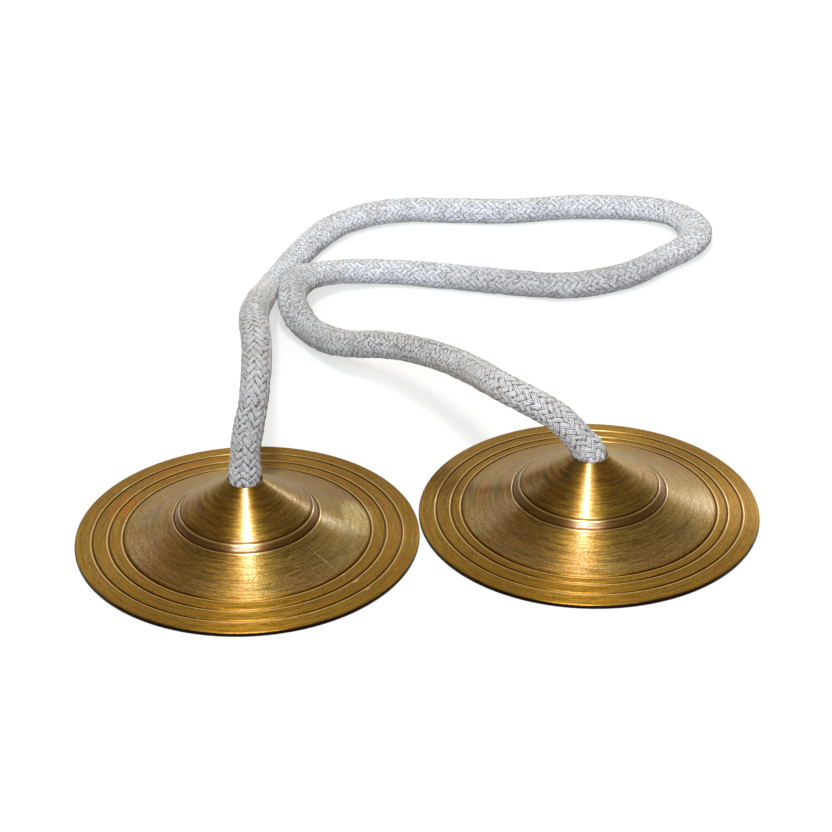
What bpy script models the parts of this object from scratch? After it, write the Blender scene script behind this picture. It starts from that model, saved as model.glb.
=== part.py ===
"""Manjira: a pair of small lathe-turned brass cymbals on one braided cord.

The cymbals lie rims down, side by side along X, on the plane z = 0. The cord
comes up out of the hole in each crown and lies in a loop behind them (+Y).
Under each crown the cord ends in an overhand knot that fills the hollow.
"""

import math

import bpy
import numpy as np

# Driving dimensions, in metres.

RIM_RADIUS = 0.035
RIM_THICKNESS = 0.00095
RIM_ROUNDING = 0.0003
RIM_GAP = 0.0003
CROWN_HEIGHT = 0.0143
CROWN_FOOT_HEIGHT = 0.0075
CONE_TOP_HEIGHT = 0.0061
CONE_SAG = 0.0003
FLANGE_HEIGHT = 0.0017
SEAT_WIDTH = 0.008
WALL = 0.0012
HOLE_LIP = 0.0003
GROOVE_WIDTH = 0.0006
GROOVE_DEPTH = 0.00025
TURNED_STEPS = 72

# The pair was turned by hand, so the grooves of the two aren't quite alike.
# Each has the radii of the crown's foot and the cone's top, then how far in
# from the rim its three flange grooves lie, from the inner one outwards.
LEFT_GROOVES = (0.01325, 0.01462, 0.00993, 0.00698, 0.00367)
RIGHT_GROOVES = (0.01410, 0.01564, 0.00884, 0.00671, 0.00363)

CORD_DIAMETER = 0.006
CORD_CLEARANCE = 0.0003
CORD_POINT_STEP = 0.012
PIVOT_ABOVE_HOLE = 0.002

# The knot is drawn up until it fills the hollow, less these clearances.
KNOT_ABOVE_FLOOR = 0.0004
KNOT_BELOW_ROOF = 0.0005
KNOT_GAP = 0.0005
KNOT_POINT_STEP = 0.0018
KNOT_START = 50
KNOT_END = 352
KNOT_POINTS = 44
NECK_TAPER = 0.0025

# Directions in which the cord leaves the two bending points, towards its loop.
LEFT_EXIT = (0.13, 0.33, 0.93)
RIGHT_EXIT = (-0.72, 0.20, 0.66)

# The cord's route between the exits, in millimetres: up and back from the left
# crown, along the loop on the floor, and forward and up to the right crown.
CORD_ROUTE = (
    (-32.6, 4.9, 28.6), (-31.4, 10.3, 33.2), (-30.7, 18.1, 35.7),
    (-30.6, 26.7, 35.2), (-29.0, 45.9, 28.4), (-26.7, 70.3, 17.4),
    (-24.1, 95.6, 5.8), (-19.3, 109.8, 3.2), (-14.8, 118.7, 3.0),
    (-6.4, 131.7, 3.0), (0.9, 137.5, 3.0), (12.4, 140.7, 3.0),
    (37.9, 136.7, 3.0), (53.2, 136.7, 3.0), (65.8, 135.1, 3.0),
    (77.2, 131.3, 3.0), (82.4, 124.9, 3.0), (82.9, 118.0, 3.0),
    (79.6, 111.4, 3.0), (71.6, 104.9, 3.0), (62.4, 98.4, 3.0),
    (50.2, 95.1, 3.0), (41.7, 96.0, 3.0), (17.2, 104.5, 3.0),
    (3.6, 107.8, 3.3), (-6.8, 106.3, 4.6), (-14.4, 101.2, 6.3),
    (-17.5, 95.2, 6.9), (-18.1, 87.2, 5.8), (-14.9, 79.1, 4.0),
    (-8.0, 66.2, 7.2), (0.0, 57.2, 11.1), (9.2, 40.5, 16.8),
    (14.6, 25.7, 21.1), (19.5, 8.1, 25.9), (27.0, 2.8, 23.3),
)

BRASS = (0.56, 0.40, 0.12)
COTTON = (0.74, 0.73, 0.74)

# Stretches of a tube closer along it than this many of its widths are neighbours.
NEIGHBOUR_WIDTHS = 2.3

CORD_RADIUS = CORD_DIAMETER / 2
HOLE_RADIUS = CORD_RADIUS + CORD_CLEARANCE
CENTRE_X = RIM_RADIUS + RIM_GAP / 2
PIVOT_HEIGHT = CROWN_HEIGHT + PIVOT_ABOVE_HOLE


def clear_scene():
    for obj in list(bpy.data.objects):
        bpy.data.objects.remove(obj, do_unlink=True)


def new_collection(name):
    collection = bpy.data.collections.new(name)
    bpy.context.scene.collection.children.link(collection)
    return collection


def new_material(name, colour, metallic, roughness):
    material = bpy.data.materials.new(name)
    material.use_nodes = True
    shader = material.node_tree.nodes["Principled BSDF"]
    shader.inputs["Base Color"].default_value = (*colour, 1.0)
    shader.inputs["Metallic"].default_value = metallic
    shader.inputs["Roughness"].default_value = roughness
    return material


def groove(radius, height, slope):
    """Three profile points of a V groove cut into a surface that falls outwards by slope."""
    half = GROOVE_WIDTH / 2
    return [
        (radius - half, height + half * slope),
        (radius, height - GROOVE_DEPTH),
        (radius + half, height - half * slope),
    ]


def crown_hollow(foot):
    """The slanting roof inside the crown, one wall under the outer side: its top and bottom corners."""
    slope = (CROWN_HEIGHT - CROWN_FOOT_HEIGHT) / (foot - HOLE_RADIUS)
    drop = WALL * math.hypot(1, slope)
    top = (HOLE_RADIUS, CROWN_HEIGHT - drop)
    bottom = (foot - WALL / 2, CROWN_FOOT_HEIGHT + WALL / 2 * slope - drop)
    return top, bottom


def cymbal_profile(grooves):
    """(radius, height) pairs, from the hole's upper lip down the outer side and back along the hollow."""
    foot, cone_top, *from_rim = grooves
    flange = [RIM_RADIUS - distance for distance in from_rim]
    crown_slope = (CROWN_HEIGHT - CROWN_FOOT_HEIGHT) / (foot - HOLE_RADIUS)
    cone_slope = (CONE_TOP_HEIGHT - FLANGE_HEIGHT) / (flange[0] - cone_top)
    flange_slope = (FLANGE_HEIGHT - RIM_THICKNESS) / (RIM_RADIUS - flange[0])

    outer = [(HOLE_RADIUS, CROWN_HEIGHT - HOLE_LIP), (HOLE_RADIUS + HOLE_LIP, CROWN_HEIGHT)]
    outer += groove(foot, CROWN_FOOT_HEIGHT, crown_slope)
    outer += groove(cone_top, CONE_TOP_HEIGHT, cone_slope)
    # The cone sags a little below a straight line, like the flare of a bell.
    for share in (0.3, 0.6, 0.85):
        radius = cone_top + share * (flange[0] - cone_top)
        height = CONE_TOP_HEIGHT - share * (CONE_TOP_HEIGHT - FLANGE_HEIGHT)
        outer.append((radius, height - CONE_SAG * math.sin(math.pi * share)))
    for radius in flange:
        height = FLANGE_HEIGHT - flange_slope * (radius - flange[0])
        outer += groove(radius, height, flange_slope)
    outer.append((RIM_RADIUS - RIM_ROUNDING / 2, RIM_THICKNESS))
    outer.append((RIM_RADIUS, RIM_THICKNESS - RIM_ROUNDING))
    outer.append((RIM_RADIUS, RIM_ROUNDING))
    outer.append((RIM_RADIUS - RIM_ROUNDING / 2, 0.0))

    # Under the cone the hollow lies one wall below it, measured square to the slope.
    cone_drop = WALL * math.hypot(1, cone_slope)
    top, bottom = crown_hollow(foot)
    hollow = [
        (RIM_RADIUS - SEAT_WIDTH, 0.0),
        (flange[0] - WALL, FLANGE_HEIGHT + WALL * cone_slope - cone_drop),
        (cone_top, CONE_TOP_HEIGHT - cone_drop),
        bottom,
        top,
    ]
    return outer + hollow


def add_cymbal(name, x, grooves, material, collection):
    profile = cymbal_profile(grooves)
    mesh = bpy.data.meshes.new(name)
    count = len(profile)
    edges = [(i, (i + 1) % count) for i in range(count)]
    mesh.from_pydata([(radius, 0.0, height) for radius, height in profile], edges, [])
    mesh.materials.append(material)
    obj = bpy.data.objects.new(name, mesh)
    obj.location = (x, 0.0, 0.0)
    collection.objects.link(obj)

    screw = obj.modifiers.new("Turn", "SCREW")
    screw.axis = "Z"
    screw.angle = 2 * math.pi
    screw.steps = TURNED_STEPS
    screw.render_steps = TURNED_STEPS
    screw.use_merge_vertices = True
    screw.merge_threshold = 0.00001
    screw.use_smooth_shade = True
    return obj


def smooth_curve(points, step):
    """Points at an even step along the natural cubic spline through the given ones."""
    points = np.array(points, float)
    spans = np.sqrt(np.linalg.norm(np.diff(points, axis=0), axis=1))
    count = len(points)
    system = np.zeros((count, count))
    right = np.zeros((count, 3))
    system[0, 0] = system[-1, -1] = 1.0
    for i in range(1, count - 1):
        before, after = spans[i - 1], spans[i]
        system[i, i - 1 : i + 2] = before, 2 * (before + after), after
        right[i] = 6 * ((points[i + 1] - points[i]) / after - (points[i] - points[i - 1]) / before)
    bends = np.linalg.solve(system, right)

    share = np.linspace(0, 1, 40, endpoint=False)[:, None]
    runs = []
    for i, span in enumerate(spans):
        rest = 1 - share
        cubic = (rest**3 - rest) * bends[i] + (share**3 - share) * bends[i + 1]
        runs.append(rest * points[i] + share * points[i + 1] + cubic * span**2 / 6)
    fine = np.vstack(runs + [points[-1:]])
    along = distances_along(fine)
    places = np.linspace(0, along[-1], max(2, round(along[-1] / step) + 1))
    return np.column_stack([np.interp(places, along, fine[:, k]) for k in range(3)])


def distances_along(points):
    steps = np.linalg.norm(np.diff(points, axis=0), axis=1)
    return np.concatenate([[0], np.cumsum(steps)])


def print_least_gap(name, points, radii):
    """Prints the least space between two stretches of a tube that aren't neighbours along it."""
    along = distances_along(points)
    reach = radii[:, None] + radii[None, :]
    gaps = np.linalg.norm(points[:, None] - points[None, :], axis=2) - reach
    apart = np.abs(along[:, None] - along[None, :]) > NEIGHBOUR_WIDTHS * reach
    least = 1000 * gaps[apart].min()
    print(f"{name}: {1000 * along[-1]:.0f} mm long, least gap to itself {least:.2f} mm")


def add_tube(name, points, radii, resolution, material, collection):
    curve = bpy.data.curves.new(name, "CURVE")
    curve.dimensions = "3D"
    curve.bevel_depth = 1.0
    curve.bevel_resolution = resolution
    curve.use_fill_caps = True
    curve.twist_mode = "MINIMUM"
    spline = curve.splines.new("POLY")
    spline.points.add(len(points) - 1)
    for point, place, radius in zip(spline.points, points, radii):
        point.co = (*place, 1.0)
        point.radius = radius
    spline.use_smooth = True
    curve.materials.append(material)
    obj = bpy.data.objects.new(name, curve)
    collection.objects.link(obj)
    return obj


def exit_points(side, direction):
    """The free cord's first two points: a clearance off the neck's round top, then straight on."""
    unit = np.array(direction) / np.linalg.norm(direction)
    pivot = np.array([side * CENTRE_X, 0.0, PIVOT_HEIGHT])
    first = CORD_RADIUS + CORD_CLEARANCE
    return pivot + unit * first, pivot + unit * (first + CORD_RADIUS)


def add_cord(material, collection):
    start, start_run = exit_points(-1, LEFT_EXIT)
    end, end_run = exit_points(1, RIGHT_EXIT)
    route = [start_run, *(np.array(CORD_ROUTE) / 1000), end_run]
    points = np.vstack([start, smooth_curve(route, CORD_POINT_STEP), end])
    fine = smooth_curve(route, CORD_RADIUS / 3)
    print_least_gap("cord", fine, np.full(len(fine), CORD_RADIUS))
    return add_tube("cord", points, [CORD_RADIUS] * len(points), 3, material, collection)


def knot_sizes(foot):
    """The radii of the knot's strand, of its twist and of the ring that it is wound round.

    The strand winds round a ring that lies flat on the cymbal's axis. The twist is most of
    a gap wider than the strand's own radius, so that two turns clear each other across it,
    and the ring's inner side leaves room for three strands that lean on each other. The
    strand is as thick as the room under the slanting roof allows.
    """
    (top_radius, top_height), (bottom_radius, bottom_height) = crown_hollow(foot)
    slope = (top_height - bottom_height) / (bottom_radius - top_radius)
    square = 1 / math.hypot(1, slope)
    twist_gap = 0.8 * KNOT_GAP
    inner_share = 0.64
    inner_gap = inner_share * KNOT_GAP
    height_over_axis = top_height + slope * top_radius - KNOT_ABOVE_FLOOR
    room = height_over_axis - twist_gap - slope * (twist_gap + inner_gap)
    strand = room * square - twist_gap - KNOT_BELOW_ROOF
    strand /= 2 + (2 + slope * (1 + 2 * inner_share)) * square
    twist = strand + twist_gap
    return strand, twist, twist + 2 * inner_share * strand + inner_gap


def knot_path(strand, twist, ring):
    """The overhand knot: an open trefoil wound round the ring, from its upper inner side to its tail."""
    centre = KNOT_ABOVE_FLOOR + strand + twist
    turns = np.radians(np.linspace(KNOT_START, KNOT_END, KNOT_POINTS))
    reach = ring + twist * np.cos(3 * turns)
    height = centre + twist * np.sin(3 * turns)
    return np.column_stack([reach * np.cos(2 * turns), reach * np.sin(2 * turns), height])


def round_top():
    """The neck's domed top: points up the axis from the pivot, highest first, with their radii."""
    points = []
    radii = []
    for angle in (75, 55, 35, 15):
        points.append((0.0, 0.0, PIVOT_HEIGHT + CORD_RADIUS * math.sin(math.radians(angle))))
        radii.append(CORD_RADIUS * math.cos(math.radians(angle)))
    return points, radii


def add_knotted_end(name, x, foot, material, collection):
    """The neck through the hole, narrowing below it into the strand of the knot."""
    strand, twist, ring = knot_sizes(foot)
    hole_floor = crown_hollow(foot)[0][1]
    shaft = [(0.0, 0.0, PIVOT_HEIGHT), (0.0, 0.0, CROWN_HEIGHT), (0.0, 0.0, hole_floor)]
    path = smooth_curve(np.vstack([shaft, knot_path(strand, twist, ring)]), KNOT_POINT_STEP)
    below = distances_along(path) - (PIVOT_HEIGHT - hole_floor)
    radii = np.interp(below, [0, NECK_TAPER], [CORD_RADIUS, strand])
    print_least_gap(name, path, radii)

    top_points, top_radii = round_top()
    obj = add_tube(
        name, np.vstack([top_points, path]), [*top_radii, *radii], 2, material, collection
    )
    obj.location = (x, 0.0, 0.0)
    return obj


def main():
    clear_scene()
    parts = new_collection("manjira")
    brass = new_material("brass", BRASS, 1.0, 0.3)
    cotton = new_material("braided_cotton", COTTON, 0.0, 0.85)
    add_cymbal("left_cymbal", -CENTRE_X, LEFT_GROOVES, brass, parts)
    add_cymbal("right_cymbal", CENTRE_X, RIGHT_GROOVES, brass, parts)
    add_cord(cotton, parts)
    add_knotted_end("left_knotted_end", -CENTRE_X, LEFT_GROOVES[0], cotton, parts)
    add_knotted_end("right_knotted_end", CENTRE_X, RIGHT_GROOVES[0], cotton, parts)


main()
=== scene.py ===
"""Manjira: two turned brass hand cymbals on a braided cotton cord, seen from in front and above."""

import math

import bmesh
import bpy
import numpy as np
from mathutils import Matrix, Vector


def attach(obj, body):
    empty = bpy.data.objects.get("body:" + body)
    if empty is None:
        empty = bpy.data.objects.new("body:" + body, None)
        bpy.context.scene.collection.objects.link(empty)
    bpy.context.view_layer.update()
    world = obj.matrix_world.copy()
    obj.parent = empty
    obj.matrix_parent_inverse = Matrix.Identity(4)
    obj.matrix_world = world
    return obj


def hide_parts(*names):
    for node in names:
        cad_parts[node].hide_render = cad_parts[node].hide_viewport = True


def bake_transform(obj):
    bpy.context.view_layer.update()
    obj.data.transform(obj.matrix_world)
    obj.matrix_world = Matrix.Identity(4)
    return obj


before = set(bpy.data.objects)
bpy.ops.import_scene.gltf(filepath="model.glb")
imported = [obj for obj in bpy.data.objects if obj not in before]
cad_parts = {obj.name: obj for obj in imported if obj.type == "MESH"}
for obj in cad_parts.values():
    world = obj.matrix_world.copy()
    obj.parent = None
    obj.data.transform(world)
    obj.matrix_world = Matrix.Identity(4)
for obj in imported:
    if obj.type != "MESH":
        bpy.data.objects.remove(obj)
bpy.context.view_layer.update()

# Sizes of the CAD model, in metres.
RIM_RADIUS = 0.035
RIM_THICKNESS = 0.00095
RIM_GAP = 0.0003
CROWN_HEIGHT = 0.0143
CROWN_FOOT_HEIGHT = 0.0075
CONE_TOP_HEIGHT = 0.0061
CONE_SAG = 0.0003
FLANGE_HEIGHT = 0.0017
SEAT_WIDTH = 0.008
WALL = 0.0012
GROOVE_HALF_WIDTH = 0.0003
LIP_HEIGHT = 0.00004
# Crown foot radius, cone top radius, then three flange grooves as distances in from the rim.
LEFT_GROOVES = (0.01325, 0.01462, 0.00993, 0.00698, 0.00367)
RIGHT_GROOVES = (0.01410, 0.01564, 0.00884, 0.00671, 0.00363)
CORD_RADIUS = 0.003
CORD_CLEARANCE = 0.0003
HOLE_RADIUS = CORD_RADIUS + CORD_CLEARANCE
CENTRE_X = RIM_RADIUS + RIM_GAP / 2
PIVOT_HEIGHT = CROWN_HEIGHT + 0.002
LEFT_EXIT = (0.13, 0.33, 0.93)
RIGHT_EXIT = (-0.72, 0.20, 0.66)
KNOT_ABOVE_FLOOR = 0.0004
KNOT_BELOW_ROOF = 0.0005
KNOT_GAP = 0.0005
KNOT_START = 50
KNOT_END = 352
KNOT_POINTS = 44
NECK_TAPER = 0.0025
# The cord's route between the exits, in millimetres.
CORD_ROUTE = (
    (-32.6, 4.9, 28.6), (-31.4, 10.3, 33.2), (-30.7, 18.1, 35.7),
    (-30.6, 26.7, 35.2), (-29.0, 45.9, 28.4), (-26.7, 70.3, 17.4),
    (-24.1, 95.6, 5.8), (-19.3, 109.8, 3.2), (-14.8, 118.7, 3.0),
    (-6.4, 131.7, 3.0), (0.9, 137.5, 3.0), (12.4, 140.7, 3.0),
    (37.9, 136.7, 3.0), (53.2, 136.7, 3.0), (65.8, 135.1, 3.0),
    (77.2, 131.3, 3.0), (82.4, 124.9, 3.0), (82.9, 118.0, 3.0),
    (79.6, 111.4, 3.0), (71.6, 104.9, 3.0), (62.4, 98.4, 3.0),
    (50.2, 95.1, 3.0), (41.7, 96.0, 3.0), (17.2, 104.5, 3.0),
    (3.6, 107.8, 3.3), (-6.8, 106.3, 4.6), (-14.4, 101.2, 6.3),
    (-17.5, 95.2, 6.9), (-18.1, 87.2, 5.8), (-14.9, 79.1, 4.0),
    (-8.0, 66.2, 7.2), (0.0, 57.2, 11.1), (9.2, 40.5, 16.8),
    (14.6, 25.7, 21.1), (19.5, 8.1, 25.9), (27.0, 2.8, 23.3),
)

# The braid: this many strands run each way round, this far apart along the cord.
STRANDS = 12
STRAND_PITCH = 0.0016
STRAND_STEPS = 4
BRAID_RELIEF = 0.00024
# How far strands wander from an even braid, and how much the cord swells just over the holes.
STRAND_WANDER = 0.00022
CORD_SWELL = 0.00035
# The free cord is a rigid piece. Below this distance from each pivot the cord is cut into a separate neck and knot
# piece.
NECK_LENGTH = 0.0130


class Socket:
    """A node's output. Python's operators on it add Math nodes."""

    def __init__(self, tree, output):
        self.tree = tree
        self.output = output

    def node(self, kind, settings=None, inputs=None, output=0):
        made = self.tree.nodes.new(kind)
        for name, value in (settings or {}).items():
            if name == "stops":
                set_stops(made.color_ramp, value)
            else:
                setattr(made, name, value)
        for key, value in (inputs or {}).items():
            if isinstance(value, Socket):
                self.tree.links.new(value.output, made.inputs[key])
            else:
                made.inputs[key].default_value = value
        return Socket(self.tree, made.outputs[output])

    def maths(self, operation, *others):
        values = dict(enumerate((self, *others)))
        return self.node("ShaderNodeMath", {"operation": operation}, values)

    def reflected(self, operation, other):
        return self.node("ShaderNodeMath", {"operation": operation}, {0: other, 1: self})

    def __add__(self, other):
        return self.maths("ADD", other)

    def __sub__(self, other):
        return self.maths("SUBTRACT", other)

    def __mul__(self, other):
        return self.maths("MULTIPLY", other)

    def __truediv__(self, other):
        return self.maths("DIVIDE", other)

    def __pow__(self, other):
        return self.maths("POWER", other)

    def __mod__(self, other):
        return self.maths("FLOORED_MODULO", other)

    def __radd__(self, other):
        return self.reflected("ADD", other)

    def __rsub__(self, other):
        return self.reflected("SUBTRACT", other)

    def __rmul__(self, other):
        return self.reflected("MULTIPLY", other)

    def __rtruediv__(self, other):
        return self.reflected("DIVIDE", other)

    def clamp(self):
        return self.node("ShaderNodeClamp", None, {0: self})

    def between(self, low, high):
        """0 below low, 1 above high, smooth between them."""
        return self.node(
            "ShaderNodeMapRange", {"interpolation_type": "SMOOTHSTEP"}, {0: self, 1: low, 2: high}
        )

    def mix(self, first, second):
        """The first colour where this is 0, the second where it is 1."""
        return self.node("ShaderNodeMix", {"data_type": "RGBA"}, {0: self, 6: first, 7: second}, 2)

    def tint(self, other):
        """This colour times another."""
        return self.node(
            "ShaderNodeMix", {"data_type": "RGBA", "blend_type": "MULTIPLY"}, {0: 1.0, 6: self, 7: other}, 2
        )

    def axis(self, number):
        """One of the three numbers in a vector."""
        return self.node("ShaderNodeSeparateXYZ", None, {0: self}, number)

    def noise(self, scale, detail=2.0, roughness=0.5, output=0):
        values = {"Vector": self, "Scale": scale, "Detail": detail, "Roughness": roughness}
        return self.node("ShaderNodeTexNoise", None, values, output)

    def feed(self, shader, name):
        self.tree.links.new(self.output, shader.inputs[name])


def set_stops(ramp, stops):
    """Sets a colour ramp's (position, colour) stops."""
    while len(ramp.elements) < len(stops):
        ramp.elements.new(1.0)
    for element, (position, colour) in zip(ramp.elements, stops):
        element.position = position
        element.color = colour


def new_material(name, **constants):
    """A material, its shader and a starting point that nodes are made from."""
    material = bpy.data.materials.new(name)
    material.use_nodes = True
    tree = material.node_tree
    shader = tree.nodes["Principled BSDF"]
    for key, value in constants.items():
        shader.inputs[key.replace("_", " ")].default_value = value
    return material, shader, Socket(tree, None)


def link_to_scene(name, data):
    obj = bpy.data.objects.new(name, data)
    bpy.context.scene.collection.objects.link(obj)
    return obj


def grid_faces(rows, columns, wrap_rows):
    """Quads over a (rows, columns) grid whose columns close into rings, as vertex numbers."""
    index = np.arange(rows * columns).reshape(rows, columns)
    index = np.hstack([index, index[:, :1]])
    if wrap_rows:
        index = np.vstack([index, index[:1]])
    quads = [index[:-1, :-1], index[1:, :-1], index[1:, 1:], index[:-1, 1:]]
    return np.stack(quads, -1).reshape(-1, 4)


def groove(radius, height, slope_inside, slope_outside):
    """Points across a groove: a slanting wall, a narrow floor, and a wall with a raised rounded lip outside."""
    across = np.array([-2.15, -1.2, -0.9, -0.6, -0.3, 0.0, 0.3, 0.6, 0.9, 1.2, 1.5, 1.8, 2.15])
    down = np.array([0.0, 0.0, 0.3, 1.6, 4.4, 5.0, 4.4, 1.6, -0.5, -1.0, -0.7, 0.0, 0.0])
    slopes = np.where(across < 0, slope_inside, slope_outside)
    heights = height - across * GROOVE_HALF_WIDTH * slopes - down * LIP_HEIGHT
    return list(zip(radius + across * GROOVE_HALF_WIDTH, heights))


def cymbal_profile(grooves):
    """The turned outline, (radius, height), from the hole's lip down the outer side and back."""
    foot, cone_top, *from_rim = grooves
    flange = [RIM_RADIUS - distance for distance in from_rim]
    crown_slope = (CROWN_HEIGHT - CROWN_FOOT_HEIGHT) / (foot - HOLE_RADIUS)
    cone_slope = (CONE_TOP_HEIGHT - FLANGE_HEIGHT) / (flange[0] - cone_top)
    cone_bend = CONE_SAG * math.pi / (flange[0] - cone_top)
    step_slope = (CROWN_FOOT_HEIGHT - CONE_TOP_HEIGHT) / (cone_top - foot)
    flange_slope = (FLANGE_HEIGHT - RIM_THICKNESS) / (RIM_RADIUS - flange[0])

    outer = []
    lip = 0.0003
    for turn in np.radians(np.linspace(180, 90 - math.degrees(math.atan(crown_slope)), 7)):
        outer.append((HOLE_RADIUS + lip + lip * math.cos(turn), CROWN_HEIGHT - lip + lip * math.sin(turn)))
    for share in np.linspace(0.12, 0.9, 12):
        radius = HOLE_RADIUS + share * (foot - HOLE_RADIUS)
        outer.append((radius, CROWN_HEIGHT - (radius - HOLE_RADIUS) * crown_slope))
    outer += groove(foot, CROWN_FOOT_HEIGHT, crown_slope, step_slope)
    outer += groove(cone_top, CONE_TOP_HEIGHT, step_slope, cone_slope + cone_bend)
    for share in np.linspace(0.09, 0.93, 14):
        radius = cone_top + share * (flange[0] - cone_top)
        fall = CONE_TOP_HEIGHT - share * (CONE_TOP_HEIGHT - FLANGE_HEIGHT)
        outer.append((radius, fall - CONE_SAG * math.sin(math.pi * share)))
    for radius in flange:
        slope_inside = cone_slope - cone_bend if radius == flange[0] else flange_slope
        outer += groove(radius, FLANGE_HEIGHT - flange_slope * (radius - flange[0]), slope_inside, flange_slope)
    for radius in (RIM_RADIUS - 0.0018, RIM_RADIUS - 0.0009, RIM_RADIUS - 0.0005):
        outer.append((radius, FLANGE_HEIGHT - flange_slope * (radius - flange[0])))
    edge = RIM_THICKNESS / 2
    for turn in np.radians(np.linspace(85, -85, 13)):
        outer.append((RIM_RADIUS - edge * 0.5 * (1 - math.cos(turn)), edge + edge * math.sin(turn)))

    crown_drop = WALL * math.hypot(1, crown_slope)
    cone_drop = WALL * math.hypot(1, cone_slope)
    inner = [
        (RIM_RADIUS - SEAT_WIDTH, 0.0),
        (flange[0] - WALL, FLANGE_HEIGHT + WALL * cone_slope - cone_drop),
        (cone_top, CONE_TOP_HEIGHT - cone_drop),
        (foot - WALL / 2, CROWN_FOOT_HEIGHT + WALL / 2 * crown_slope - crown_drop),
        (HOLE_RADIUS, CROWN_HEIGHT - crown_drop),
    ]
    return np.array(outer + inner)


def make_cymbal(name, x, grooves, material):
    """The profile turned about the upright axis at x: (x + r cos a, r sin a, z)."""
    profile = cymbal_profile(grooves)
    angle = np.linspace(0, 2 * np.pi, 360, endpoint=False)
    reach = profile[:, :1]
    places = np.stack([x + reach * np.cos(angle), reach * np.sin(angle), profile[:, 1:] + 0 * angle], -1)
    mesh = bpy.data.meshes.new(name)
    mesh.from_pydata(places.reshape(-1, 3), [], grid_faces(len(profile), len(angle), True))
    mesh.shade_smooth()
    mesh.set_sharp_from_angle(angle=math.radians(38))
    mesh.materials.append(material)
    obj = link_to_scene(name + "_surface", mesh)
    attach(obj, name)
    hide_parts(name)
    return obj


def smooth_curve(points, step):
    """Points at an even step along the natural cubic spline through the given ones."""
    points = np.array(points, float)
    spans = np.sqrt(np.linalg.norm(np.diff(points, axis=0), axis=1))
    count = len(points)
    system = np.zeros((count, count))
    right = np.zeros((count, 3))
    system[0, 0] = system[-1, -1] = 1.0
    for i in range(1, count - 1):
        before, after = spans[i - 1], spans[i]
        system[i, i - 1 : i + 2] = before, 2 * (before + after), after
        right[i] = 6 * ((points[i + 1] - points[i]) / after - (points[i] - points[i - 1]) / before)
    bends = np.linalg.solve(system, right)
    share = np.linspace(0, 1, 60, endpoint=False)[:, None]
    runs = []
    for i, span in enumerate(spans):
        rest = 1 - share
        cubic = (rest**3 - rest) * bends[i] + (share**3 - share) * bends[i + 1]
        runs.append(rest * points[i] + share * points[i + 1] + cubic * span**2 / 6)
    fine = np.vstack(runs + [points[-1:]])
    along = distances_along(fine)
    places = np.linspace(0, along[-1], max(2, round(along[-1] / step) + 1))
    return np.column_stack([np.interp(places, along, fine[:, k]) for k in range(3)])


def distances_along(points):
    steps = np.linalg.norm(np.diff(points, axis=0), axis=1)
    return np.concatenate([[0], np.cumsum(steps)])


def knot_shape(grooves):
    """The radius of the knot's strand and its path, about the cymbal's axis.

    An open trefoil: reach = ring + twist cos 3t and height = middle + twist sin 3t at the angle 2t. The strand
    is as thick as the slanting roof allows, and the ring and twist leave a gap between its turns."""
    foot = grooves[0]
    slope = (CROWN_HEIGHT - CROWN_FOOT_HEIGHT) / (foot - HOLE_RADIUS)
    roof = CROWN_HEIGHT - WALL * math.hypot(1, slope)
    square = 1 / math.hypot(1, slope)
    twist_gap = 0.8 * KNOT_GAP
    inner_share = 0.64
    inner_gap = inner_share * KNOT_GAP
    room = roof + slope * HOLE_RADIUS - KNOT_ABOVE_FLOOR - twist_gap - slope * (twist_gap + inner_gap)
    strand = (room * square - twist_gap - KNOT_BELOW_ROOF) / (2 + (2 + slope * (1 + 2 * inner_share)) * square)
    twist = strand + twist_gap
    ring = twist + 2 * inner_share * strand + inner_gap
    turns = np.radians(np.linspace(KNOT_START, KNOT_END, KNOT_POINTS))
    reach = ring + twist * np.cos(3 * turns)
    height = KNOT_ABOVE_FLOOR + strand + twist + twist * np.sin(3 * turns)
    return strand, roof, np.column_stack([reach * np.cos(2 * turns), reach * np.sin(2 * turns), height])


def whole_cord_path():
    """The centreline from the left knot's tail, over the route, to the right knot's tail, and its radii."""
    left_strand, left_roof, left_knot = knot_shape(LEFT_GROOVES)
    right_strand, right_roof, right_knot = knot_shape(RIGHT_GROOVES)
    left_shaft = np.array([(0, 0, left_roof), (0, 0, CROWN_HEIGHT)])
    right_shaft = np.array([(0, 0, right_roof), (0, 0, CROWN_HEIGHT)])
    left = np.vstack([left_shaft[::-1], left_knot]) - (CENTRE_X, 0, 0)
    right = np.vstack([right_shaft[::-1], right_knot]) + (CENTRE_X, 0, 0)
    first = exit_point(-1, LEFT_EXIT, 2 * CORD_RADIUS + CORD_CLEARANCE)
    last = exit_point(1, RIGHT_EXIT, 2 * CORD_RADIUS + CORD_CLEARANCE)
    route = np.array(CORD_ROUTE) / 1000
    path = smooth_curve(np.vstack([left[::-1], [first], route, [last], right]), STRAND_PITCH / STRAND_STEPS)
    along = distances_along(path)
    start = along[np.argmin(np.linalg.norm(path - exit_point(-1, LEFT_EXIT, 0), axis=1))]
    end = along[np.argmin(np.linalg.norm(path - exit_point(1, RIGHT_EXIT, 0), axis=1))]
    left_floor = start - (PIVOT_HEIGHT - left_roof)
    right_floor = end + (PIVOT_HEIGHT - right_roof)
    radii = np.interp(
        along,
        [left_floor - NECK_TAPER, left_floor, right_floor, right_floor + NECK_TAPER],
        [left_strand, CORD_RADIUS, CORD_RADIUS, right_strand],
    )
    return path, along, radii, start, end


def exit_point(side, direction, reach):
    """A point this far along the cord's direction from the pivot over one cymbal."""
    unit = np.array(direction) / np.linalg.norm(direction)
    return np.array([side * CENTRE_X, 0.0, PIVOT_HEIGHT]) + unit * reach


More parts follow.
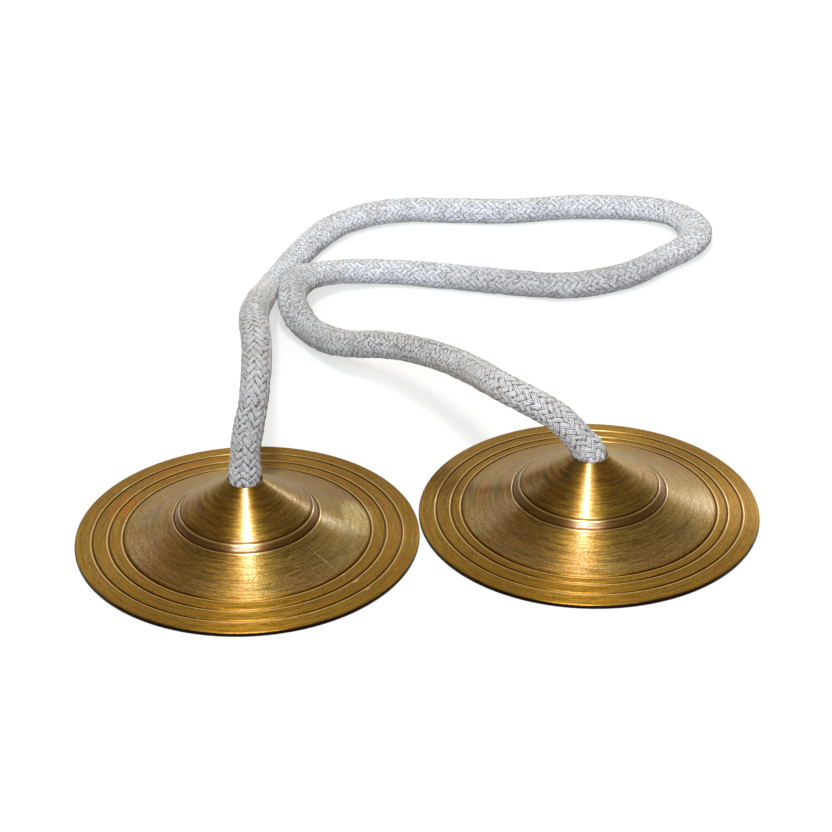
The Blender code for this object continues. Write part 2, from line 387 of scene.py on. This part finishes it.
def braid_relief(a, b):
    """Height of a two-over-two braid at strand coordinates a and b, from 0 in a gap to 1 on a crest.

    Strands that run one way lie between whole numbers of a, and the others between those of b. The sum
    of the two whole numbers, modulo 4, says which is on top, over two strands and then under two."""
    order = np.mod(np.floor(a) + np.floor(b), 4)
    on_top = order < 2
    across = np.where(on_top, a, b) % 1
    run = (np.where(on_top, b, a) % 1 + np.mod(order, 2)) / 2
    return np.sin(np.pi * across) ** 0.7 * (0.5 + 0.5 * np.sin(np.pi * run) ** 0.6)


def carried_sides(path, ahead):
    """A unit vector across the path at each point, carried along it without twist."""
    side = np.cross(ahead[0], (0.3, 0.9, 0.2))
    sides = []
    for direction in ahead:
        side = side - direction * (side @ direction)
        side = side / np.linalg.norm(side)
        sides.append(side)
    return np.array(sides)


def wandering(shape, length, seed):
    """Smooth random numbers, about -1 to 1, over a grid whose columns close into rings.

    Even noise whose waves shorter than about this many grid steps are faded out."""
    waves = np.fft.fft2(np.random.default_rng(seed).standard_normal(shape))
    rate = np.hypot(np.fft.fftfreq(shape[0])[:, None], np.fft.fftfreq(shape[1]))
    smooth = np.fft.ifft2(waves * np.exp(-((rate * length) ** 2))).real
    return smooth / (2 * smooth.std())


def braided_surface():
    """Places, strand coordinates and path of the whole cord, as (rings, columns) arrays.

    A ring of radius r about each path point, flattened in the plane of the bend by the curvature, with the
    braid's relief added outwards. Ring and column numbers count quarter strands, so that a grid line runs
    along each gap and each crest."""
    path, along, radii, start, end = whole_cord_path()
    step = along[-1] / (len(along) - 1)
    ahead = np.gradient(path, step, axis=0)
    ahead /= np.linalg.norm(ahead, axis=1)[:, None]
    bend = np.gradient(ahead, step, axis=0)
    smooth = np.ones(17) / 17
    bend = np.column_stack([np.convolve(bend[:, k], smooth, "same") for k in range(3)])
    sharp = np.linalg.norm(bend, axis=1)[:, None]
    inward = bend / np.maximum(sharp, 1e-6)
    upward = np.cross(ahead, inward)
    free = np.clip(np.minimum(along - start, end - along) / 0.006, 0, 1)[:, None]

    columns = STRANDS * STRAND_STEPS
    around = np.arange(columns) / columns
    ring = np.arange(len(path))[:, None] / STRAND_STEPS
    a = STRANDS * around + ring
    b = STRANDS * around - ring
    shape = a.shape
    side = carried_sides(path, ahead)
    other = np.cross(ahead, side)
    aside = STRAND_WANDER / CORD_RADIUS * wandering(shape, 14, 1)
    turn = (2 * np.pi * around + aside)[..., None]
    out = side[:, None] * np.cos(turn) + other[:, None] * np.sin(turn)

    lumps = 0.012 * np.sin(along / 0.0031 + 2.0 * np.sin(along / 0.017)) + 0.01 * np.sin(along / 0.0083)
    over_hole = np.minimum(abs(along - start + 0.0004), abs(along - end - 0.0004))
    swell = CORD_SWELL * np.exp(-((over_hole / 0.0016) ** 2))
    relief = BRAID_RELIEF * (braid_relief(a, b) - 0.55 + 0.35 * wandering(shape, 7, 2))
    reach = (radii * (1 + lumps * free[:, 0]) + swell)[:, None] + relief
    offset = out * reach[..., None]
    widen = 1.8 * CORD_RADIUS * sharp * free * np.clip(path[:, 1:2] / 0.09 - 0.4, 0, 1)
    flat = 0.4 * widen
    offset += inward[:, None] * (np.sum(offset * inward[:, None], -1) * widen)[..., None]
    offset -= upward[:, None] * (np.sum(offset * upward[:, None], -1) * flat)[..., None]
    lengthways = STRAND_WANDER * wandering(shape, 14, 3) * free
    places = path[:, None] + offset + ahead[:, None] * lengthways[..., None]
    places[..., 2] = np.maximum(places[..., 2], 0.00002)
    return places, a, b, path, along, start, end


def cord_piece(name, surface, first, last, material):
    """The stretch of the cord from one ring to another, closed by a disc at each end."""
    places, a, b, path = surface
    rows, columns = last - first + 1, places.shape[1]
    faces = grid_faces(rows, columns, False)[:, ::-1]
    corner_places = places[first : last + 1].reshape(-1, 3)
    mesh = bpy.data.meshes.new(name)
    centres = np.array([path[first], path[last]])
    near = np.arange(columns)
    far = near + (rows - 1) * columns
    fans = [(rows * columns, int(i), int((i + 1) % columns)) for i in near]
    fans += [(rows * columns + 1, int((rows - 1) * columns + (i + 1) % columns), int(i) + (rows - 1) * columns) for i in near]
    mesh.from_pydata(np.vstack([corner_places, centres]), [], faces.tolist() + fans)
    mesh.shade_smooth()

    uv = mesh.uv_layers.new(name="strands")
    loops = np.zeros(len(mesh.loops), int)
    mesh.loops.foreach_get("vertex_index", loops)
    flat_a = np.append(a[first : last + 1].ravel(), [0, 0])
    flat_b = np.append(b[first : last + 1].ravel(), [0, 0])
    corners = np.column_stack([flat_a[loops], flat_b[loops]])
    quad_count = len(faces) * 4
    column = (loops[:quad_count] % columns).reshape(-1, 4)
    wraps = (column.max(1) - column.min(1) > 1)[:, None] & (column == 0)
    corners[:quad_count] += np.where(wraps.reshape(-1, 1), STRANDS, 0)
    uv.data.foreach_set("uv", corners.ravel())
    mesh.materials.append(material)
    obj = link_to_scene(name, mesh)
    return obj


def make_cord(material):
    """The free cord, and at each end a neck with its knot as a separate piece between the cord and the cymbal."""
    places, a, b, path, along, start, end = braided_surface()
    surface = (places, a, b, path)
    left_seam = int(np.searchsorted(along, start + NECK_LENGTH))
    right_seam = int(np.searchsorted(along, end - NECK_LENGTH))
    cord = cord_piece("cord_braid", surface, left_seam, right_seam, material)
    left = cord_piece("left_knot_braid", surface, 0, left_seam, material)
    right = cord_piece("right_knot_braid", surface, right_seam, len(path) - 1, material)
    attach(cord, "cord")
    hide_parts("cord")
    for piece, body, side, direction in ((left, "left_end", -1, LEFT_EXIT), (right, "right_end", 1, RIGHT_EXIT)):
        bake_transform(piece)
        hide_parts(body.replace("end", "knotted_end"))
    float(along[right_seam] - along[left_seam])


def cotton_material():
    """Pale grey cotton: strand and yarn lines from the strand coordinates, with painted shade in the gaps, painted
    cool light far back and on top of the high arch, and painted shade on the runs up from the cymbals.
    """
    material, shader, start = new_material(
        "braided_cotton", Roughness=0.7, Sheen_Weight=0.35, Sheen_Roughness=0.4, Specular_IOR_Level=0.35
    )
    strands = start.node("ShaderNodeUVMap", {"uv_map": "strands"})
    a, b = strands.axis(0), strands.axis(1)
    order = (a.maths("FLOOR") + b.maths("FLOOR")) % 4.0
    on_top = order.maths("LESS_THAN", 1.5)
    shown = on_top * a + (1 - on_top) * b
    under = on_top * b + (1 - on_top) * a
    across = shown % 1.0
    run = (under % 1.0 + order % 2.0) * 0.5
    place = start.node("ShaderNodeTexCoord", output=3)
    blur = place.noise(900.0, 3.0)
    fuzz = place.noise(2400.0, 2.0, 0.6)

    edge = (across * math.pi).maths("SINE") + (blur - 0.5) * 1.2
    arch = (run * math.pi).maths("SINE") + (blur - 0.5) * 1.0
    thread = (across * (3 * math.pi)).maths("SINE").maths("ABSOLUTE").between(0.1, 0.8)
    body = edge.between(-0.05, 0.75) * (arch.between(-0.15, 0.75) * 0.5 + 0.5)

    strand = shown.maths("FLOOR") % float(STRANDS) + on_top * 40.0
    length = under.maths("FLOOR") - order % 2.0 - shown.maths("FLOOR")
    key = start.node("ShaderNodeCombineXYZ", None, {0: strand, 1: length, 2: (across * 3.0).maths("FLOOR")})
    shade = start.node("ShaderNodeTexWhiteNoise", {"noise_dimensions": "3D"}, {0: key})
    strokes = start.node("ShaderNodeCombineXYZ", None, {0: shown * 3.2, 1: under * 0.9, 2: on_top * 7.0})
    stroke = strokes.noise(1.0, 3.0, 0.75)
    side, back, height = (place.axis(k) for k in range(3))
    close = back.between(0.045, 0.012)
    yarns = thread * (0.45 + close * 0.3) + (0.55 - close * 0.3)
    level = body * yarns * (shade * 0.6 + 0.55) * (0.75 + close * 0.45) + 0.02
    level = level + (stroke - 0.5) * (3.0 - close * 0.8) + (fuzz - 0.5) * (2.8 - close * 1.0)
    # The level's low end is painted shade in the gaps between strands and between yarns; its high end is the cotton's
    # own white.
    tone = level.node("ShaderNodeValToRGB", {"stops": (
        (0.0, (0.09, 0.085, 0.08, 1)), (0.22, (0.36, 0.35, 0.345, 1)),
        (0.45, (0.78, 0.78, 0.78, 1)), (0.66, (0.97, 0.97, 0.97, 1)), (1.0, (1.0, 1.0, 1.0, 1)),
    )}, {0: level})
    # Painted cool light: far back the cotton is painted lighter and cooler, and cooler again on top of the high arch.
    far = back.between(0.03, 0.10)
    tone = (far * 0.3).mix(tone, (0.97, 0.98, 1.0, 1))
    painted_light_and_shade = far.mix((0.97, 0.96, 0.96, 1), (0.93, 0.945, 1.0, 1))
    painted_light_and_shade = height.between(0.026, 0.034).mix(painted_light_and_shade, (0.93, 0.945, 1.0, 1))
    # Painted shade: the cord's run up from the left cymbal, darkest near it, and its run down to the right cymbal are
    # darkened.
    right_run = side.between(-0.0225, -0.0185) * back.between(0.106, 0.096)
    left_run = side.between(-0.02, -0.026) * back.between(0.085, 0.0)
    painted_shade = (right_run * 0.6).maths("MAXIMUM", left_run * 0.95)
    painted_light_and_shade = painted_shade.mix(painted_light_and_shade, (0.5, 0.49, 0.49, 1))
    patches = place.noise(230.0, 2.0).between(0.35, 0.65).mix((0.92, 0.90, 0.88, 1), (1.0, 1.0, 1.0, 1))
    tone.tint(painted_light_and_shade).tint(patches).feed(shader, "Base Color")
    bump = level.node("ShaderNodeBump", None, {"Height": level, "Strength": 0.8, "Distance": 0.0002})
    bump.feed(shader, "Normal")
    return material


def mark(centred, x, y, turn, half_length, half_width):
    """A soft patch on a cymbal, in millimetres about its axis, 1 in its middle and 0 outside."""
    settings = {"vector_type": "TEXTURE"}
    values = {0: centred, 1: (x / 1000, y / 1000, 0), 2: (0, 0, math.radians(turn))}
    local = centred.node("ShaderNodeMapping", settings, values)
    along = (local.axis(0) * (1000 / half_length)).maths("ABSOLUTE")
    aside = (local.axis(1) * (1000 / half_width)).maths("ABSOLUTE")
    return (along * along + aside * aside).between(1.0, 0.15)


def outer_side(reach, z, foot, cone_top, flange):
    """1 on a cymbal's outer side and 0 underneath: how far z is below the highest of the crown's, the cone's and
    the flange's slanting lines."""
    tops = []
    for start, high, end, low in (
        (HOLE_RADIUS, CROWN_HEIGHT, foot, CROWN_FOOT_HEIGHT),
        (cone_top, CONE_TOP_HEIGHT, flange, FLANGE_HEIGHT),
        (flange, FLANGE_HEIGHT, RIM_RADIUS, RIM_THICKNESS),
    ):
        fall = (high - low) / (end - start)
        tops.append((high + fall * start) - reach * fall)
    top = tops[0].maths("MAXIMUM", tops[1]).maths("MAXIMUM", tops[2])
    return (z - top).between(-0.00085, -0.00065)


def brass_material(name, centre_x, grooves, marks):
    """Turned brass about the upright axis at centre_x, with tarnish in its grooves, painted shade on its edge, and in
    the marks colour patches, a painted reflection and painted highlights.
    """
    material, shader, start = new_material(
        name, Metallic=1.0, Anisotropic=0.77, Anisotropic_Rotation=0.25
    )
    place = start.node("ShaderNodeTexCoord", output=3)
    centred = place.node("ShaderNodeMapping", None, {0: place, 1: (-centre_x, 0, 0)})
    x, y, z = (centred.axis(k) for k in range(3))
    reach = (x * x + y * y) ** 0.5
    fine = start.node("ShaderNodeCombineXYZ", None, {0: reach * 5000.0, 1: x * 200.0, 2: y * 200.0})
    lines = fine.noise(1.0, 3.0, 0.7)
    coarse = start.node("ShaderNodeCombineXYZ", None, {0: reach * 1800.0, 1: x * 40.0, 2: y * 40.0}).noise(1.0, 2.0)
    grain = centred.noise(3000.0, 2.0, 0.6)
    patches = centred.noise(75.0, 3.0)
    flange = RIM_RADIUS - grooves[2]
    tone = patches.between(0.35, 0.65).mix((0.325, 0.168, 0.016, 1), (0.31, 0.195, 0.024, 1))
    orange = reach.between(flange - 0.002, flange) * 0.6
    tone = orange.mix(tone, (0.33, 0.172, 0.012, 1))
    foot, cone_top, *from_rim = grooves
    outside = outer_side(reach, z, foot, cone_top, flange)
    for colour, strength, *shape in marks:
        patch = mark(centred, *shape) * (grain.between(0.2, 0.7) * 0.5 + 0.5) * outside
        tone = (patch * strength).mix(tone, colour)
    tone = tone.tint(lines.between(0.3, 0.7).mix((0.60, 0.56, 0.50, 1), (1.22, 1.22, 1.22, 1)))
    tone = tone.tint(coarse.between(0.3, 0.7).mix((0.84, 0.81, 0.76, 1), (1.10, 1.11, 1.12, 1)))
    tone = tone.tint(grain.between(0.3, 0.7).mix((0.72, 0.69, 0.62, 1), (1.18, 1.20, 1.26, 1)))

    floors, lips = None, None
    for radius in (foot, cone_top, *(RIM_RADIUS - distance for distance in from_rim)):
        outward = reach - radius
        floor = outward.maths("ABSOLUTE").between(0.00022, 0.00012)
        lip = outward.between(0.00018, 0.00026) * outward.between(0.00054, 0.00044)
        floors = floor if floors is None else floors.maths("MAXIMUM", floor)
        lips = lip if lips is None else lips.maths("MAXIMUM", lip)
    floors, lips = floors * outside, lips * outside
    between_rings = reach.between(foot + 0.0003, foot + 0.0005) * reach.between(cone_top, cone_top - 0.0002) * outside
    tone = (between_rings * 0.7).mix(tone, (0.2, 0.085, 0.035, 1))
    # Lips painted lighter: partly the lighter polished burr on each lip, partly a painted highlight.
    tone = (lips * 0.5).mix(tone, (0.85, 0.62, 0.22, 1))
    tone = (floors * 0.9).mix(tone, (0.13, 0.045, 0.012, 1))
    # Painted shade: the rim's outer side below its rounded top is painted nearly black.
    edge = reach.between(RIM_RADIUS - 0.0004, RIM_RADIUS - 0.0003) * z.between(0.0009, 0.0008)
    tone = edge.mix(tone, (0.012, 0.006, 0.003, 1))
    tone.feed(shader, "Base Color")
    rough = 0.32 + lines.between(0.3, 0.7) * 0.14 + coarse * 0.06 - lips * 0.06
    rough.feed(shader, "Roughness")
    bump = lines.node(
        "ShaderNodeBump", None, {"Height": lines + coarse * 0.8, "Strength": 0.35, "Distance": 0.00006}
    )
    bump.feed(shader, "Normal")

    tree = material.node_tree
    polish = tree.nodes.new("ShaderNodeBsdfPrincipled")
    for key, value in (
        ("Base Color", (0.95, 0.93, 0.86, 1)), ("Metallic", 1.0), ("Roughness", 0.24),
        ("Anisotropic", 0.88), ("Anisotropic Rotation", 0.25),
    ):
        polish.inputs[key].default_value = value
    bump.feed(polish, "Normal")
    both = tree.nodes.new("ShaderNodeMixShader")
    bare = reach.between(flange, flange - 0.001) * 0.9 + 0.1
    share = (0.045 + grain.between(0.35, 0.75) * 0.13) * lines.between(0.2, 0.6) * bare + lips * 0.08
    share = share * (1 - floors) * (1 - edge)
    share.feed(both, "Fac")
    tree.links.new(shader.outputs[0], both.inputs[1])
    tree.links.new(polish.outputs[0], both.inputs[2])
    tree.links.new(both.outputs[0], tree.nodes["Material Output"].inputs["Surface"])
    return material


def make_floor():
    """A plain white floor that keeps the object's shadow, seen as white by camera and mirror rays."""
    bpy.ops.mesh.primitive_plane_add(size=40.0, location=(0, 0, 0))
    floor = bpy.context.object
    floor.name = "floor"
    material, shader, start = new_material("floor_white", Roughness=0.9, Specular_IOR_Level=0.1)
    shader.inputs["Base Color"].default_value = (0.36, 0.36, 0.36, 1)
    shader.inputs["Emission Strength"].default_value = 1.0
    camera, glossy, transmission = (start.node("ShaderNodeLightPath", output=k) for k in (0, 3, 6))
    ray = camera.maths("MAXIMUM", glossy).maths("MAXIMUM", transmission)
    place = start.node("ShaderNodeTexCoord", output=3)
    away = place.node("ShaderNodeVectorMath", {"operation": "LENGTH"}, {0: place}, 1)
    glow = ray * (0.6 + 0.4 * away.between(0.12, 0.3))
    glow.mix((0, 0, 0, 1), (1, 1, 1, 1)).feed(shader, "Emission Color")
    floor.data.materials.append(material)


def make_world():
    """A dim room with a bright low window band behind the pair, from straight behind round to the right."""
    world = bpy.data.worlds.new("studio")
    bpy.context.scene.world = world
    world.use_nodes = True
    tree = world.node_tree
    direction = Socket(tree, None).node("ShaderNodeTexCoord")
    x, y, z = (direction.axis(k) for k in range(3))
    toward = x * math.cos(math.radians(80)) + y * math.sin(math.radians(80))
    flat = (x * x + y * y + 0.0001) ** 0.5
    band = (toward / flat).between(0.64, 1.2) * z.between(0.99, 0.9)
    tone = band.mix((0.18, 0.13, 0.055, 1), (1.6, 1.54, 1.25, 1))
    tone.feed(tree.nodes["Background"], 0)


def make_lamps():
    """A strip lamp overhead in front, and a small low one behind on the right."""
    for name, place, across, along, power, colour in (
        ("overhead", (-0.054, -0.214, 0.717), 0.04, 0.25, 3.7, (1.0, 0.995, 0.985)),
        ("back_right", (0.374, 0.523, 0.277), 0.11, 0.11, 0.34, (0.93, 0.96, 1.0)),
        ("fill", (-0.123, -0.698, 0.554), 0.5, 0.5, 8.2, (0.78, 0.875, 1.0)),
        ("back_left", (-0.265, 0.520, 0.386), 0.2, 0.2, 0.12, (0.93, 0.96, 1.0)),
    ):
        lamp = bpy.data.lights.new(name, "AREA")
        lamp.shape = "RECTANGLE"
        lamp.size = across
        lamp.size_y = along
        lamp.energy = power
        lamp.color = colour
        obj = link_to_scene(name, lamp)
        place = Vector(place)
        obj.matrix_world = Matrix.Translation(place) @ place.to_track_quat("Z", "Y").to_matrix().to_4x4()


def make_camera():
    """The photograph's viewpoint: its height and heading about the pair's middle, its distance and its roll."""
    frame_width = 832
    focal = 2685.5
    distance = 0.55
    elevation = math.radians(32.63)
    azimuth = math.atan2(4.2, 34.9)
    roll = math.radians(-0.53)
    middle = (418.6, 525.8)
    fall = elevation - math.atan((middle[1] - frame_width / 2) / focal)
    heading = azimuth - math.atan((middle[0] - frame_width / 2) / focal)
    flat = distance * math.cos(elevation)
    place = Vector((-flat * math.sin(azimuth), -flat * math.cos(azimuth), distance * math.sin(elevation)))
    look = Vector((math.sin(heading) * math.cos(fall), math.cos(heading) * math.cos(fall), -math.sin(fall)))
    camera = bpy.data.cameras.new("camera")
    camera.sensor_width = 36
    camera.lens = camera.sensor_width * focal / frame_width
    camera.clip_start = 0.01
    obj = link_to_scene("camera", camera)
    turn = look.to_track_quat("-Z", "Y").to_matrix() @ Matrix.Rotation(roll, 3, "Z")
    obj.matrix_world = Matrix.Translation(place) @ turn.to_4x4()
    bpy.context.scene.camera = obj


make_camera()
make_cord(cotton_material())
RED = (0.44, 0.15, 0.085, 1)
ORANGE = (0.47, 0.18, 0.015, 1)
# Painted reflection: a paler, more olive brass.
PAINTED_REFLECTION = (0.26, 0.19, 0.085, 1)
BROWN = (0.21, 0.095, 0.015, 1)
# Painted highlight colour, for glints and a pale patch.
PAINTED_HIGHLIGHT = (0.95, 0.78, 0.40, 1)
# Marks on each cymbal: colour, strength, then middle x and y, turn in degrees, half length and half width.
LEFT_MARKS = (
    (RED, 0.75, -18.1, 9.2, 20, 3.2, 1.5),
    (ORANGE, 0.7, -24.5, 13.0, 62, 7.0, 3.0),
    (ORANGE, 0.5, -14.0, 26.0, 25, 10.0, 4.0),
    # Painted reflection on the left of the left cymbal's cone.
    (PAINTED_REFLECTION, 0.8, -19.3, 5.0, 75, 4.5, 3.0),
    # Painted highlight: a pale patch on the right of the cone, where the light behind on the right glints.
    (PAINTED_HIGHLIGHT, 0.6, 22.6, 1.5, 90, 8.0, 4.0),
    # A thin pale radial line across the flange, in the highlight colour.
    (PAINTED_HIGHLIGHT, 0.45, 14.1, -14.9, -44, 4.3, 0.2),
    # Painted glints where that line crosses the three flange grooves.
    (PAINTED_HIGHLIGHT, 0.9, 17.7, -18.3, 44, 0.9, 0.2),
    (PAINTED_HIGHLIGHT, 0.9, 20.0, -20.6, 44, 1.0, 0.2),
    (PAINTED_HIGHLIGHT, 0.9, 22.2, -23.1, 44, 0.9, 0.2),
    # Painted glints on the three flange grooves at the back left.
    (PAINTED_HIGHLIGHT, 0.9, -19.2, 16.7, 49, 1.6, 0.22),
    (PAINTED_HIGHLIGHT, 0.9, -21.3, 18.5, 49, 1.4, 0.22),
    (PAINTED_HIGHLIGHT, 0.9, -24.0, 20.9, 49, 2.0, 0.22),
)
RIGHT_MARKS = (
    (ORANGE, 0.7, -21.0, 7.0, 70, 5.0, 2.4),
    (ORANGE, 0.6, -6.4, -2.0, 17, 3.0, 1.6),
    (BROWN, 0.6, 17.0, -14.0, 50, 4.5, 3.0),
    (BROWN, 0.5, 20.0, 18.0, -42, 6.0, 3.0),
)
make_cymbal(
    "left_cymbal", -CENTRE_X, LEFT_GROOVES, brass_material("left_brass", -CENTRE_X, LEFT_GROOVES, LEFT_MARKS)
)
make_cymbal(
    "right_cymbal", CENTRE_X, RIGHT_GROOVES, brass_material("right_brass", CENTRE_X, RIGHT_GROOVES, RIGHT_MARKS)
)
make_floor()
make_world()
make_lamps()
bpy.context.scene.view_settings.view_transform = "Standard"
